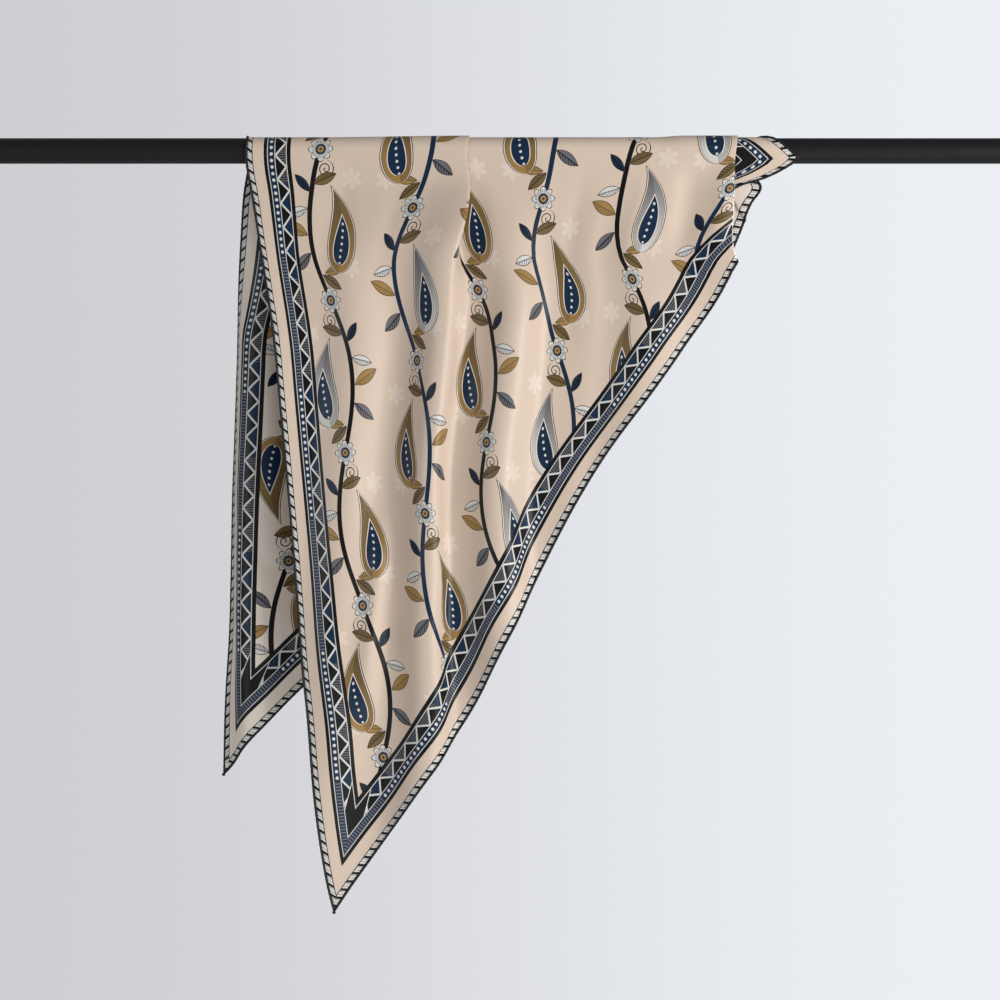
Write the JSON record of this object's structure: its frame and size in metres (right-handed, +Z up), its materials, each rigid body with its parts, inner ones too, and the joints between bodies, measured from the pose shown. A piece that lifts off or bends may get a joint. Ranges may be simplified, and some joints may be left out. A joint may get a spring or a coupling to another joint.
{
  "type": "triangle scarf",
  "caption": "Large silk twill triangle scarf with a banded border and rolled black hem, hung over a plain round black rail.",
  "frame": {"origin": "middle of the rail's axis, at half its length", "axes": "+X along the rail, to the right as seen from the front; +Y from the front stretch to the back stretch; +Z up. The front of the scarf faces -Y."},
  "size_m": [1.32, 0.1288, 0.9789],
  "materials": {
    "silk_front": "satin",
    "silk_back": "satin",
    "hem_black": "satin",
    "rail_black": "satin"
  },
  "bodies": {
    "root": {"rail": "rail_black", "scarf_front": "silk_front", "scarf_over_rail": "silk_front", "scarf_back": "silk_back", "hem_long_front": "hem_black", "hem_long_back": "hem_black", "hem_leg_front": "hem_black", "hem_leg_back": "hem_black"}
  },
  "joints": []
}
